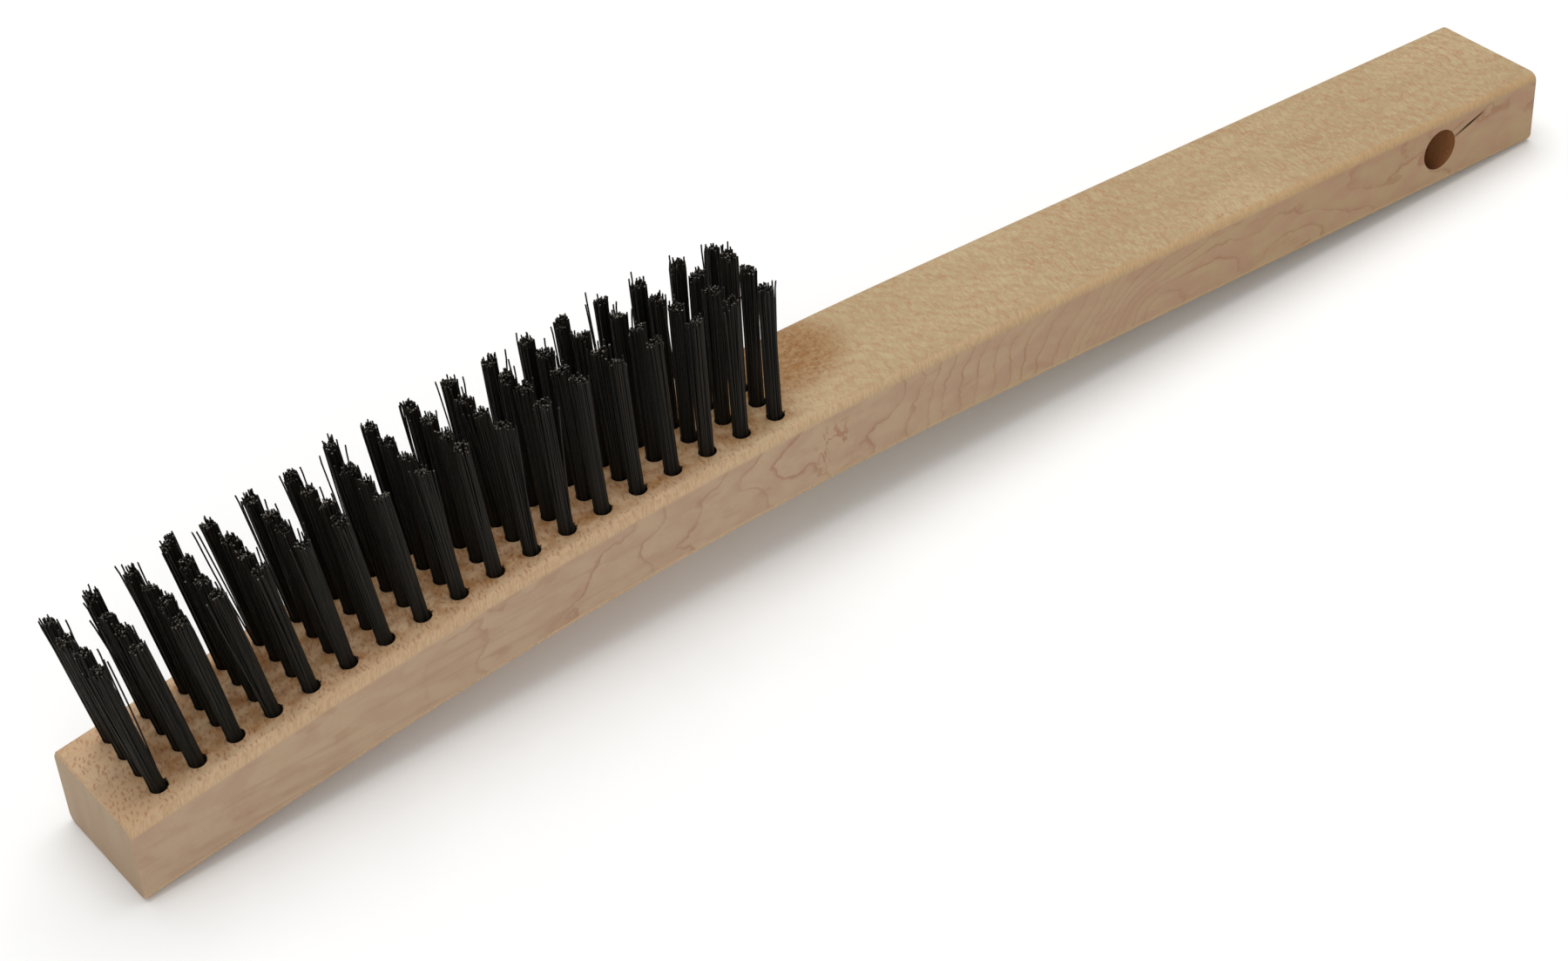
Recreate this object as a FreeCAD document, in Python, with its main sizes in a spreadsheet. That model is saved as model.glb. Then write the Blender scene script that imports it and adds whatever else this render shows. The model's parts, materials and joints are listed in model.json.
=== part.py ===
"""Curved-handle wire scratch brush: a hardwood block with stapled tufts of steel wire.

The brush lies on its back with the bristles up. +X runs along the block from the head
end to the end with the hanging hole, +Y runs across it, and +Z points up, the way the
bristles stand. The origin is the middle of the brush's footprint, on the surface that
it rests on.

The block is drawn in a bench frame of its own: the bristle face is at height zero, the
head end of that face is at the origin, and the straight start of the face runs along X.
From there the face goes straight, bends down in one arc, and goes straight again as the
handle. The rest placement then lays the block on the two ends of its hollow back.
"""

import FreeCAD, Part

import math
import os

import Sketcher

DRIVING_SIZES = [
    # name, value in mm or degrees, what it is
    ("block_width", 28.8, "across the block"),
    ("block_thickness", 17.0, "from the bristle face to the back"),
    ("head_straight", 33.7, "straight start of the face, from the head end"),
    ("face_radius", 860.0, "radius of the bend, measured on the face"),
    ("bend_angle", 10.3, "angle between head and handle"),
    ("handle_straight", 161.7, "straight end of the face, along the handle"),
    ("head_rake", 7.6, "how far the head end is cut from square"),
    ("long_edge_radius", 2.0, "rounding of the four long edges"),
    ("end_edge_break", 0.4, "small break round both sawn ends"),
    ("hang_hole_diameter", 9.3, "hanging hole, across the handle"),
    ("hang_hole_to_end", 29.4, "hanging hole's centre to the handle end"),
    ("hang_hole_depth", 7.75, "hanging hole's centre below the face"),
    ("crack_gap", 0.4, "sound wood between the hole's wall and the drying crack"),
    ("crack_length", 9.0, "length of the crack"),
    ("crack_to_widest", 4.0, "from the crack's start to its widest place"),
    ("crack_width", 0.5, "width of the crack at its widest place"),
    ("crack_depth", 4.0, "how deep the crack goes in from the front side"),
    ("crack_slope", 19.5, "angle between the crack and the handle's face"),
    ("row_pitch", 8.08, "between rows of tufts, along the face"),
    ("column_pitch", 5.76, "between the tufts of one row"),
    ("tuft_hole_diameter", 3.6, "drilled hole for one tuft"),
    ("tuft_hole_depth", 9.5, "depth of that hole below the face"),
    ("tuft_diameter", 3.0, "bundle of folded wires"),
    ("bristle_trim", 30.0, "free length of the bristles above the face"),
    ("staple_wire", 0.8, "wire of the anchor staple"),
    ("staple_span", 2.6, "between the centres of the staple's legs"),
    ("staple_height", 2.6, "top of the staple above the hole's bottom"),
    ("staple_bite", 4.5, "how deep the legs go into the wood under the hole"),
    ("staple_corner", 0.7, "bend radius at the staple's crown"),
    ("staple_point", 0.25, "bevel at the ends of the legs"),
    ("seat_play", 0.1, "gap between the staple and the wires folded round it"),
]

ROW_COUNT = 18
TUFTS_PER_ROW = 4
STRAIGHT_ROWS = 3        # rows on the straight start; the next row is where the bend begins
NODE_FOLDER = "parts"

X_AXIS = FreeCAD.Vector(1, 0, 0)
Y_AXIS = FreeCAD.Vector(0, 1, 0)
START, END, CENTRE = 1, 2, 3     # Sketcher's numbers for the points of a line or an arc
ROOT_POINT = (-1, START)         # the sketch's own origin


# ---------------------------------------------------------------- document and sketch helpers

def add_sizes(doc):
    """Put the driving dimensions in the document's spreadsheet."""
    sheet = doc.addObject("Spreadsheet::Sheet", "Sizes")
    for line, (name, value, meaning) in enumerate(DRIVING_SIZES, start=1):
        sheet.set(f"A{line}", meaning)
        sheet.set(f"B{line}", str(value))
        sheet.setAlias(f"B{line}", name)
    doc.recompute()
    return sheet


def add_body(doc, name):
    """A PartDesign body whose patterns may leave several separate solids."""
    body = doc.addObject("PartDesign::Body", name)
    body.Label = name
    body.AllowCompound = True
    return body


def origin_feature(body, role):
    """The body's own origin plane or axis with this role."""
    for feature in body.Origin.OriginFeatures:
        if feature.Role == role:
            return feature
    raise ValueError(f"{body.Name} has no {role}")


def add_sketch(body, name, plane_role, offset=None):
    """A sketch on one of the body's origin planes, moved on that plane by offset."""
    sketch = body.newObject("Sketcher::SketchObject", name)
    sketch.AttachmentSupport = [(origin_feature(body, plane_role), "")]
    sketch.MapMode = "FlatFace"
    if offset is not None:
        sketch.AttachmentOffset = offset
    return sketch


def bind(sketch, constraint, name, formula):
    """Add a constraint, name it, and tie its value to the sizes."""
    index = sketch.addConstraint(constraint)
    sketch.renameConstraint(index, name)
    sketch.setExpression(f"Constraints.{name}", formula)


def add_circle(sketch, name, across, up, radius, across_formula, up_formula, diameter_formula):
    """A circle whose centre and diameter are tied to the sizes."""
    circle = sketch.addGeometry(Part.Circle(FreeCAD.Vector(across, up, 0), FreeCAD.Vector(0, 0, 1), radius))
    place_point(sketch, (circle, CENTRE), name, across, up, across_formula, up_formula)
    bind(sketch, Sketcher.Constraint("Diameter", circle, 2 * radius), f"{name}_diameter", diameter_formula)
    return circle


def place_point(sketch, point, name, across, up, across_formula, up_formula):
    """Tie a point's two coordinates to the sizes; a formula of None means zero."""
    targets = (("DistanceX", "across", across, across_formula), ("DistanceY", "up", up, up_formula))
    for kind, word, value, formula in targets:
        if formula is None:
            alignment = "Vertical" if kind == "DistanceX" else "Horizontal"
            sketch.addConstraint(Sketcher.Constraint(alignment, *ROOT_POINT, *point))
        else:
            constraint = Sketcher.Constraint(kind, *ROOT_POINT, *point, value)
            bind(sketch, constraint, f"{name}_{word}", formula)


def add_outline(sketch, corners):
    """Straight lines round a closed outline, joined at their ends."""
    points = [FreeCAD.Vector(across, up, 0) for across, up in corners]
    lines = []
    for start, end in zip(points, points[1:] + points[:1]):
        lines.append(sketch.addGeometry(Part.LineSegment(start, end)))
    for line, following in zip(lines, lines[1:] + lines[:1]):
        sketch.addConstraint(Sketcher.Constraint("Coincident", line, END, following, START))
    return lines


def add_pocket(body, name, sketch, length_formula, both_ways=False):
    """Cut a sketch out of the body, downwards or to both sides of its plane."""
    pocket = body.newObject("PartDesign::Pocket", name)
    pocket.Profile = sketch
    pocket.setExpression("Length", length_formula)
    if both_ways:
        pocket.Midplane = True
    return pocket


def add_pattern(body, kind, name, originals):
    """Start a pattern of features and make it the body's tip, so that it counts."""
    pattern = body.newObject(kind, name)
    pattern.Originals = originals
    body.Tip = pattern
    return pattern


# ---------------------------------------------------------------- shape of the block's side

def bend_centre(sizes):
    """Centre of the bend in the bench frame, seen from the side."""
    return FreeCAD.Vector(sizes.head_straight, 0, -sizes.face_radius)


def along_face(sizes, distance):
    """Placement on the face at a distance from the head end: X along it, Z out of it."""
    turn = (distance - sizes.head_straight) / sizes.face_radius
    turn = min(max(turn, 0), math.radians(sizes.bend_angle))
    spin = FreeCAD.Rotation(Y_AXIS, math.degrees(turn))
    radius = FreeCAD.Vector(0, 0, sizes.face_radius)
    on_arc = bend_centre(sizes) + spin.multVec(radius)
    straight = distance - sizes.head_straight - turn * sizes.face_radius
    return FreeCAD.Placement(on_arc + spin.multVec(X_AXIS * straight), spin)


def face_length(sizes):
    """Length of the bristle face, from the head end to the handle end."""
    return sizes.head_straight + sizes.face_radius * math.radians(sizes.bend_angle) + sizes.handle_straight


def row_distance(sizes, row):
    """Distance of a row of tufts from the head end, along the face."""
    return sizes.head_straight + (row - STRAIGHT_ROWS) * sizes.row_pitch


def rest_tilt(sizes):
    """Angle that lays both ends of the hollow back on the surface, in degrees."""
    bend = math.radians(sizes.bend_angle)
    back_radius = sizes.face_radius - sizes.block_thickness
    head = sizes.head_straight + sizes.block_thickness * math.tan(math.radians(sizes.head_rake))
    drop = back_radius * (1 - math.cos(bend)) + sizes.handle_straight * math.sin(bend)
    run = head + back_radius * math.sin(bend) + sizes.handle_straight * math.cos(bend)
    return math.degrees(math.atan2(drop, run))


def rest_placement(sizes, block_shape):
    """Placement from the bench frame to the brush lying on its back."""
    spin = FreeCAD.Rotation(Y_AXIS, -rest_tilt(sizes))
    tilted = block_shape.copy()
    tilted.Placement = FreeCAD.Placement(FreeCAD.Vector(), spin)
    box = tilted.optimalBoundingBox(False, False)
    return FreeCAD.Placement(FreeCAD.Vector(-box.Center.x, -box.Center.y, -box.ZMin), spin)


# ---------------------------------------------------------------- handle block

def draw_side_profile(sketch, sizes):
    """The block from the side: two straights and an arc on the face, and the same on the back."""
    bend = math.radians(sizes.bend_angle)
    across = FreeCAD.Vector(math.sin(bend), math.cos(bend), 0)
    forward = FreeCAD.Vector(math.cos(bend), -math.sin(bend), 0)
    centre = FreeCAD.Vector(sizes.head_straight, -sizes.face_radius, 0)
    back_radius = sizes.face_radius - sizes.block_thickness
    undercut = sizes.block_thickness * math.tan(math.radians(sizes.head_rake))

    face_start = FreeCAD.Vector(0, 0, 0)
    bend_start = FreeCAD.Vector(sizes.head_straight, 0, 0)
    bend_end = centre + across * sizes.face_radius
    face_end = bend_end + forward * sizes.handle_straight
    back_end = face_end - across * sizes.block_thickness
    back_bend_end = centre + across * back_radius
    back_bend_start = bend_start - FreeCAD.Vector(0, sizes.block_thickness, 0)
    back_start = FreeCAD.Vector(-undercut, -sizes.block_thickness, 0)

    def line(start, end):
        return sketch.addGeometry(Part.LineSegment(start, end))

    def arc(radius):
        # a sketch arc runs anticlockwise, so it starts at the handle side
        circle = Part.Circle(centre, FreeCAD.Vector(0, 0, 1), radius)
        return sketch.addGeometry(Part.ArcOfCircle(circle, math.pi / 2 - bend, math.pi / 2))

    head_face = line(face_start, bend_start)
    face_bend = arc(sizes.face_radius)
    handle_face = line(bend_end, face_end)
    handle_end = line(face_end, back_end)
    handle_back = line(back_end, back_bend_end)
    back_bend = arc(back_radius)
    head_back = line(back_bend_start, back_start)
    head_end = line(back_start, face_start)

    def join(kind, first, first_point, second, second_point):
        sketch.addConstraint(Sketcher.Constraint(kind, first, first_point, second, second_point))

    join("Coincident", *ROOT_POINT, head_face, START)
    join("Tangent", head_face, END, face_bend, END)
    join("Tangent", face_bend, START, handle_face, START)
    join("Coincident", handle_face, END, handle_end, START)
    join("Coincident", handle_end, END, handle_back, START)
    join("Tangent", handle_back, END, back_bend, START)
    join("Tangent", back_bend, END, head_back, START)
    join("Coincident", head_back, END, head_end, START)
    join("Coincident", head_end, END, head_face, START)
    join("Coincident", face_bend, CENTRE, back_bend, CENTRE)
    sketch.addConstraint(Sketcher.Constraint("Horizontal", head_face))
    sketch.addConstraint(Sketcher.Constraint("Perpendicular", handle_face, handle_end))

    bind(sketch, Sketcher.Constraint("Distance", head_face, sizes.head_straight),
         "head_straight", "Sizes.head_straight")
    bind(sketch, Sketcher.Constraint("Distance", handle_face, sizes.handle_straight),
         "handle_straight", "Sizes.handle_straight")
    bind(sketch, Sketcher.Constraint("Distance", handle_end, sizes.block_thickness),
         "block_thickness", "Sizes.block_thickness")
    bind(sketch, Sketcher.Constraint("Radius", face_bend, sizes.face_radius),
         "face_radius", "Sizes.face_radius")
    bind(sketch, Sketcher.Constraint("DistanceY", handle_face, END, handle_face, START,
                                     sizes.handle_straight * math.sin(bend)),
         "handle_drop", "Sizes.handle_straight * sin(Sizes.bend_angle * 1deg)")
    bind(sketch, Sketcher.Constraint("DistanceX", head_end, START, head_end, END, undercut),
         "undercut", "Sizes.block_thickness * tan(Sizes.head_rake * 1deg)")


def is_long_edge(edge, half_width):
    """True for an edge that runs along a corner of the block, not across an end."""
    box = edge.BoundBox
    on_side = abs(abs(box.Center.y) - half_width) < 0.01 and box.YLength < 0.01
    return on_side and box.XLength > half_width


def pick_edges(shape, wanted):
    """Names of the edges of a shape that a test accepts."""
    return [f"Edge{number}" for number, edge in enumerate(shape.Edges, start=1) if wanted(edge)]


def end_faces(sizes):
    """A point on, and the direction out of, the head end and the handle end."""
    rake = math.radians(sizes.head_rake)
    handle = along_face(sizes, face_length(sizes))
    return [
        (FreeCAD.Vector(0, 0, 0), FreeCAD.Vector(-math.cos(rake), 0, math.sin(rake))),
        (handle.Base, handle.Rotation.multVec(X_AXIS)),
    ]


def is_end_edge(edge, ends):
    """True for an edge whose whole length lies in one of the two end planes."""
    for point, outward in ends:
        if all(abs((vertex.Point - point).dot(outward)) < 0.001 for vertex in edge.Vertexes):
            return True
    return False


def add_tuft_row_holes(body, name, distance, distance_formula, sizes):
    """Drill one row of tuft holes, with the finer holes that the staples' legs make under them."""
    tuft_sketch = add_sketch(body, f"{name}_outline", "XY_Plane")
    leg_sketch = add_sketch(body, f"{name}_leg_outline", "XY_Plane")
    for tuft in range(TUFTS_PER_ROW):
        step = tuft - (TUFTS_PER_ROW - 1) / 2
        middle = step * sizes.column_pitch
        add_circle(tuft_sketch, f"tuft_{tuft}", distance, middle, sizes.tuft_hole_diameter / 2,
                   distance_formula, f"Sizes.column_pitch * {step}", "Sizes.tuft_hole_diameter")
        for side in (-1, 1):
            leg_formula = f"Sizes.column_pitch * {step} + {side} * Sizes.staple_span / 2"
            add_circle(leg_sketch, f"leg_{tuft}_{side + 1}", distance, middle + side * sizes.staple_span / 2,
                       sizes.staple_wire / 2, distance_formula, leg_formula, "Sizes.staple_wire")
    holes = add_pocket(body, name, tuft_sketch, "Sizes.tuft_hole_depth")
    leg_holes = add_pocket(body, f"{name}_legs", leg_sketch, "Sizes.tuft_hole_depth + Sizes.staple_bite")
    return [holes, leg_holes]


def add_bend_axis(body, sizes):
    """A datum line across the block through the centre of its bend."""
    axis = body.newObject("PartDesign::Line", "bend_axis")
    across = FreeCAD.Rotation(FreeCAD.Vector(0, 0, 1), Y_AXIS)
    axis.Placement = FreeCAD.Placement(bend_centre(sizes), across)
    return axis


def add_tuft_holes(body, sizes):
    """All rows of holes: a straight pattern at the head, then a polar one round the bend."""
    first = f"Sizes.head_straight - {STRAIGHT_ROWS} * Sizes.row_pitch"
    straight = add_tuft_row_holes(body, "head_holes", row_distance(sizes, 0), first, sizes)
    rows = add_pattern(body, "PartDesign::LinearPattern", "head_hole_rows", straight)
    rows.Direction = (origin_feature(body, "X_Axis"), [""])
    rows.Occurrences = STRAIGHT_ROWS
    rows.setExpression("Length", f"Sizes.row_pitch * {STRAIGHT_ROWS - 1}")

    bent_rows = ROW_COUNT - STRAIGHT_ROWS
    bent = add_tuft_row_holes(body, "bend_holes", sizes.head_straight, "Sizes.head_straight", sizes)
    fan = add_pattern(body, "PartDesign::PolarPattern", "bend_hole_rows", bent)
    fan.Axis = (add_bend_axis(body, sizes), [""])
    fan.Occurrences = bent_rows
    fan.setExpression("Angle", f"Sizes.row_pitch * {bent_rows - 1} / Sizes.face_radius * 180 / pi")
    body.Tip = fan


def add_hang_hole(body, sizes):
    """The hanging hole through the handle, and the drying crack beside it."""
    end_of_face = along_face(sizes, face_length(sizes))
    corner = FreeCAD.Vector(end_of_face.Base.x, end_of_face.Base.z, 0)
    handle_frame = FreeCAD.Placement(corner, FreeCAD.Rotation(FreeCAD.Vector(0, 0, 1), -sizes.bend_angle))

    hole_sketch = add_sketch(body, "hang_hole_outline", "XZ_Plane", handle_frame)
    add_circle(hole_sketch, "hang_hole", -sizes.hang_hole_to_end, -sizes.hang_hole_depth,
               sizes.hang_hole_diameter / 2, "-Sizes.hang_hole_to_end", "-Sizes.hang_hole_depth",
               "Sizes.hang_hole_diameter")
    hole = add_pocket(body, "hang_hole", hole_sketch, "Sizes.block_width + 2", both_ways=True)
    body.Tip = hole
    add_crack(body, sizes, handle_frame)


def add_crack(body, sizes, handle_frame):
    """A thin spindle along the grain, pointed at both ends, that starts close to the hole."""
    centre = FreeCAD.Vector(-sizes.hang_hole_to_end, -sizes.hang_hole_depth, 0)
    slope = FreeCAD.Rotation(FreeCAD.Vector(0, 0, 1), sizes.crack_slope)
    front = -sizes.block_width / 2
    crack_frame = handle_frame.multiply(FreeCAD.Placement(centre, slope))
    # the sketch plane looks along -Y, so a negative offset along its normal moves it to +Y
    crack_frame = crack_frame.multiply(FreeCAD.Placement(FreeCAD.Vector(0, 0, -front), FreeCAD.Rotation()))

    sketch = add_sketch(body, "crack_outline", "XZ_Plane", crack_frame)
    start = sizes.hang_hole_diameter / 2 + sizes.crack_gap
    widest = start + sizes.crack_to_widest
    tip = start + sizes.crack_length
    half_width = sizes.crack_width / 2
    start_formula = "Sizes.hang_hole_diameter / 2 + Sizes.crack_gap"
    widest_formula = f"{start_formula} + Sizes.crack_to_widest"
    lines = add_outline(sketch, [(start, 0), (widest, -half_width), (tip, 0), (widest, half_width)])
    place_point(sketch, (lines[0], START), "start", start, 0, start_formula, None)
    place_point(sketch, (lines[1], START), "lower", widest, -half_width,
                widest_formula, "-Sizes.crack_width / 2")
    place_point(sketch, (lines[2], START), "tip", tip, 0, f"{start_formula} + Sizes.crack_length", None)
    place_point(sketch, (lines[3], START), "upper", widest, half_width,
                widest_formula, "Sizes.crack_width / 2")
    crack = add_pocket(body, "drying_crack", sketch, "Sizes.crack_depth")
    body.Tip = crack


def add_handle_block(doc, sizes):
    """The hardwood block: bent side profile, rounded long edges, all its holes."""
    body = add_body(doc, "handle_block")
    profile = add_sketch(body, "side_profile", "XZ_Plane")
    draw_side_profile(profile, sizes)
    blank = body.newObject("PartDesign::Pad", "blank")
    blank.Profile = profile
    blank.Midplane = True
    blank.setExpression("Length", "Sizes.block_width")
    doc.recompute()

    half_width = sizes.block_width / 2
    rounded = body.newObject("PartDesign::Fillet", "rounded_long_edges")
    rounded.Base = (blank, pick_edges(blank.Shape, lambda edge: is_long_edge(edge, half_width)))
    rounded.setExpression("Radius", "Sizes.long_edge_radius")
    doc.recompute()

    ends = end_faces(sizes)
    broken = body.newObject("PartDesign::Chamfer", "broken_end_edges")
    broken.Base = (rounded, pick_edges(rounded.Shape, lambda edge: is_end_edge(edge, ends)))
    broken.setExpression("Size", "Sizes.end_edge_break")
    doc.recompute()

    add_tuft_holes(body, sizes)
    add_hang_hole(body, sizes)
    doc.recompute()
    return body


# ---------------------------------------------------------------- tufts and staples

def repeat_across(body, name, originals):
    """Repeat features at the block's column pitch, once for each tuft of a row."""
    across = add_pattern(body, "PartDesign::LinearPattern", name, originals)
    across.Direction = (origin_feature(body, "Y_Axis"), [""])
    across.Occurrences = TUFTS_PER_ROW
    across.setExpression("Length", f"Sizes.column_pitch * {TUFTS_PER_ROW - 1}")


def first_column(sizes):
    """Middle of the first tuft of a row, as a number and as a formula."""
    step = -(TUFTS_PER_ROW - 1) / 2
    return step * sizes.column_pitch, f"Sizes.column_pitch * {step}"


def add_tuft_row(doc, name, sizes):
    """One row of wire bundles, drawn from the bottom of their holes up."""
    body = add_body(doc, name)
    middle, middle_formula = first_column(sizes)
    outline = add_sketch(body, f"{name}_outline", "XY_Plane")
    add_circle(outline, "bundle", 0, middle, sizes.tuft_diameter / 2,
               None, middle_formula, "Sizes.tuft_diameter")
    bundle = body.newObject("PartDesign::Pad", f"{name}_bundle")
    bundle.Profile = outline
    bundle.setExpression("Length", "Sizes.tuft_hole_depth + Sizes.bristle_trim")

    seat_sketch = add_sketch(body, f"{name}_seat_outline", "YZ_Plane")
    draw_staple_seat(seat_sketch, sizes)
    seat_width = "Sizes.staple_wire + 2 * Sizes.seat_play"
    seat = add_pocket(body, f"{name}_seat", seat_sketch, seat_width, both_ways=True)
    repeat_across(body, f"{name}_across", [bundle, seat])
    return body


def draw_staple_seat(sketch, sizes):
    """The gap that the folded wires leave for the staple: a square-cornered U, open below."""
    middle, middle_formula = first_column(sizes)
    outer = (sizes.staple_span + sizes.staple_wire) / 2 + sizes.seat_play
    inner = (sizes.staple_span - sizes.staple_wire) / 2 - sizes.seat_play
    top = sizes.staple_height + sizes.seat_play
    under = sizes.staple_height - sizes.staple_wire - sizes.seat_play
    outer_formula = "((Sizes.staple_span + Sizes.staple_wire) / 2 + Sizes.seat_play)"
    inner_formula = "((Sizes.staple_span - Sizes.staple_wire) / 2 - Sizes.seat_play)"
    top_formula = "Sizes.staple_height + Sizes.seat_play"
    under_formula = "Sizes.staple_height - Sizes.staple_wire - Sizes.seat_play"
    corners = [
        (-outer, 0, f"{middle_formula} - {outer_formula}", None),
        (-outer, top, f"{middle_formula} - {outer_formula}", top_formula),
        (outer, top, f"{middle_formula} + {outer_formula}", top_formula),
        (outer, 0, f"{middle_formula} + {outer_formula}", None),
        (inner, 0, f"{middle_formula} + {inner_formula}", None),
        (inner, under, f"{middle_formula} + {inner_formula}", under_formula),
        (-inner, under, f"{middle_formula} - {inner_formula}", under_formula),
        (-inner, 0, f"{middle_formula} - {inner_formula}", None),
    ]
    lines = add_outline(sketch, [(middle + across, up) for across, up, _, _ in corners])
    for number, (across, up, across_formula, up_formula) in enumerate(corners):
        place_point(sketch, (lines[number], START), f"corner_{number}", middle + across, up,
                    across_formula, up_formula)


def draw_staple_path(sketch, sizes):
    """Middle line of the staple: up one leg, across the crown and down the other leg."""
    middle, middle_formula = first_column(sizes)
    half_span = sizes.staple_span / 2
    corner = sizes.staple_corner
    crown = sizes.staple_height - sizes.staple_wire / 2
    foot = -sizes.staple_bite

    def line(start, end):
        return sketch.addGeometry(Part.LineSegment(FreeCAD.Vector(*start, 0), FreeCAD.Vector(*end, 0)))

    def bend(across, first_angle):
        circle = Part.Circle(FreeCAD.Vector(across, crown - corner, 0), FreeCAD.Vector(0, 0, 1), corner)
        return sketch.addGeometry(Part.ArcOfCircle(circle, first_angle, first_angle + math.pi / 2))

    left = middle - half_span
    right = middle + half_span
    rising_leg = line((left, foot), (left, crown - corner))
    left_bend = bend(left + corner, math.pi / 2)
    crown_line = line((left + corner, crown), (right - corner, crown))
    right_bend = bend(right - corner, 0)
    falling_leg = line((right, crown - corner), (right, foot))

    joints = [
        (rising_leg, END, left_bend, END),
        (left_bend, START, crown_line, START),
        (crown_line, END, right_bend, END),
        (right_bend, START, falling_leg, START),
    ]
    for joint in joints:
        sketch.addConstraint(Sketcher.Constraint("Tangent", *joint))
    sketch.addConstraint(Sketcher.Constraint("Vertical", rising_leg))
    sketch.addConstraint(Sketcher.Constraint("Horizontal", crown_line))
    sketch.addConstraint(Sketcher.Constraint("Vertical", falling_leg))
    sketch.addConstraint(Sketcher.Constraint("Equal", left_bend, right_bend))
    bind(sketch, Sketcher.Constraint("Radius", left_bend, corner), "corner", "Sizes.staple_corner")
    bind(sketch, Sketcher.Constraint("DistanceY", *ROOT_POINT, crown_line, START, crown),
         "crown", "Sizes.staple_height - Sizes.staple_wire / 2")
    place_point(sketch, (rising_leg, START), "first_foot", left, foot,
                f"{middle_formula} - Sizes.staple_span / 2", "-Sizes.staple_bite")
    place_point(sketch, (falling_leg, END), "second_foot", right, foot,
                f"{middle_formula} + Sizes.staple_span / 2", "-Sizes.staple_bite")


def add_staple_row(doc, name, sizes):
    """The four anchor staples of one row, drawn from the bottom of their holes."""
    body = add_body(doc, name)
    middle, middle_formula = first_column(sizes)
    path = add_sketch(body, f"{name}_path", "YZ_Plane")
    draw_staple_path(path, sizes)

    under_hole = FreeCAD.Placement(FreeCAD.Vector(0, 0, -sizes.staple_bite), FreeCAD.Rotation())
    section = add_sketch(body, f"{name}_section", "XY_Plane", under_hole)
    add_circle(section, "wire", 0, middle - sizes.staple_span / 2, sizes.staple_wire / 2,
               None, f"{middle_formula} - Sizes.staple_span / 2", "Sizes.staple_wire")
    doc.recompute()

    wire = body.newObject("PartDesign::AdditivePipe", f"{name}_wire")
    wire.Profile = section
    wire.Spine = (path, [f"Edge{number}" for number in range(1, len(path.Shape.Edges) + 1)])
    doc.recompute()

    foot = -sizes.staple_bite
    points = body.newObject("PartDesign::Chamfer", f"{name}_points")
    points.Base = (wire, pick_edges(wire.Shape, lambda edge: abs(edge.BoundBox.ZMax - foot) < 0.001))
    points.setExpression("Size", "Sizes.staple_point")
    repeat_across(body, f"{name}_across", [wire, points])
    return body


# ---------------------------------------------------------------- assembly and files

def check_document(doc, sub_parts):
    """Stop with a message if any feature failed or any sub-part isn't what it should be."""
    for item in doc.Objects:
        if "Invalid" in item.State or "Error" in item.State:
            raise RuntimeError(f"{item.Name} failed: {item.State}")
    for body, solid_count in sub_parts:
        shape = body.Shape
        if shape.isNull() or not shape.isValid():
            raise RuntimeError(f"{body.Label} has no valid shape")
        if len(shape.Solids) != solid_count:
            raise RuntimeError(f"{body.Label} has {len(shape.Solids)} solids, not {solid_count}")


def check_block_volume(doc, sizes, block):
    """Compare what the drilling took away with the holes' own volume."""
    tuft_hole = math.pi * (sizes.tuft_hole_diameter / 2) ** 2 * sizes.tuft_hole_depth
    leg_hole = math.pi * (sizes.staple_wire / 2) ** 2 * sizes.staple_bite
    hang_hole = math.pi * (sizes.hang_hole_diameter / 2) ** 2 * sizes.block_width
    crack = sizes.crack_width * sizes.crack_length * sizes.crack_depth / 2
    expected = ROW_COUNT * TUFTS_PER_ROW * (tuft_hole + 2 * leg_hole) + hang_hole + crack
    removed = doc.getObject("broken_end_edges").Shape.Volume - block.Shape.Volume
    if abs(removed / expected - 1) > 0.01:
        raise RuntimeError(f"the holes took {removed:.0f} mm3, not {expected:.0f}")


def main():
    doc = FreeCAD.newDocument("wire_brush")
    sizes = add_sizes(doc)
    block = add_handle_block(doc, sizes)
    sub_parts = [(block, 1)]
    rest = rest_placement(sizes, block.Shape)

    hole_bottom = FreeCAD.Placement(FreeCAD.Vector(0, 0, -sizes.tuft_hole_depth), FreeCAD.Rotation())
    for row in range(ROW_COUNT):
        tuft_row = add_tuft_row(doc, f"tuft_row_{row + 1:02d}", sizes)
        staple_row = add_staple_row(doc, f"staple_row_{row + 1:02d}", sizes)
        row_frame = rest.multiply(along_face(sizes, row_distance(sizes, row)))
        for body in (tuft_row, staple_row):
            body.Placement = row_frame.multiply(hole_bottom)
            sub_parts.append((body, TUFTS_PER_ROW))
    check_block_volume(doc, sizes, block)
    block.Placement = rest
    doc.recompute()
    check_document(doc, sub_parts)

    os.makedirs(NODE_FOLDER, exist_ok=True)
    for body, _ in sub_parts:
        body.Shape.exportStep(os.path.join(NODE_FOLDER, f"{body.Label}.step"))
    print(f"{len(sub_parts)} nodes, rest tilt {rest_tilt(sizes):.2f} degrees")


main()
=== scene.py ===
"""Looks of the wire brush: folded steel wires in place of the plain tufts, bare wood on the block.

Everything is in metres in the part's own frame; the wood's patterns are drawn in millimetres of
that frame. The tufts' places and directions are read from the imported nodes. Every wire is a real
folded wire that goes round its staple, and torn fibres stand round the mouths of the tuft holes.
"""

import json
import math
from types import SimpleNamespace

import bpy
import numpy as np
from mathutils import Matrix, Vector

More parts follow.
